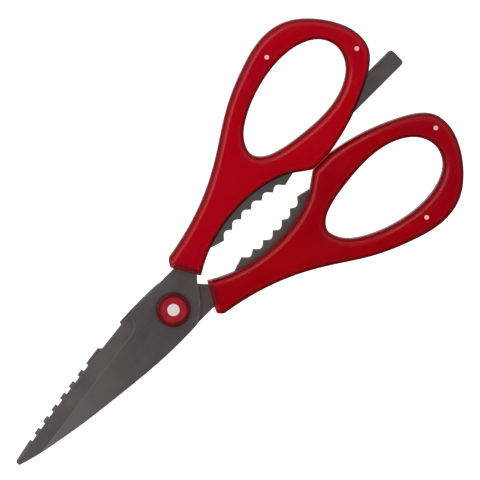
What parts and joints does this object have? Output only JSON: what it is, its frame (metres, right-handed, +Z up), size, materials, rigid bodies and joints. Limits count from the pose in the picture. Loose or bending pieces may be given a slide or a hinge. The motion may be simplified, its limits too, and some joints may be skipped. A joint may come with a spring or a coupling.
{
  "type": "kitchen shears",
  "caption": "Kitchen and poultry shears with crossed dark steel blades, scaler teeth, opener notch, toothed nutcracker jaws, lid lifter and red closed-bow handles.",
  "frame": {"origin": "on the pivot axis, on the flat outer face of the pivot nut, which is the plane that the shears lie on", "axes": "+X from the pivot towards the finger bows, +Y towards the bow of the half whose blade lies on top, +Z up out of the plane that the shears lie on"},
  "size_m": [0.2181, 0.1012, 0.011],
  "materials": {
    "blade_steel": "dark titanium grey coating, satin",
    "screw_steel": "turned, satin",
    "washer_steel": "satin",
    "red_core": "opaque red, glossy",
    "red_skin": "clear red tint, polished",
    "ring_plastic": "dark red, glossy",
    "white_plastic": "white, glossy"
  },
  "bodies": {
    "front_half": {"front_blade": "blade_steel", "front_core": "red_core", "front_skin": "red_skin", "front_bow_pin": "white_plastic", "front_end_pin": "white_plastic", "pivot_screw": "screw_steel", "bearing_washer": "washer_steel", "spring_washer": "washer_steel", "pivot_nut": "screw_steel", "cap_ring": "ring_plastic", "cap_disc": "red_core", "cap_mark": "white_plastic"},
    "rear_half": {"rear_blade": "blade_steel", "rear_core": "red_core", "rear_skin": "red_skin", "rear_bow_pin": "white_plastic", "rear_end_pin": "white_plastic"}
  },
  "joints": [
    {"name": "pivot", "type": "hinge", "parent": "front_half", "child": "rear_half", "pos_m": [0, 0, 0.0055], "axis": [0, 0, -1], "range_deg": [0, 85]}
  ]
}
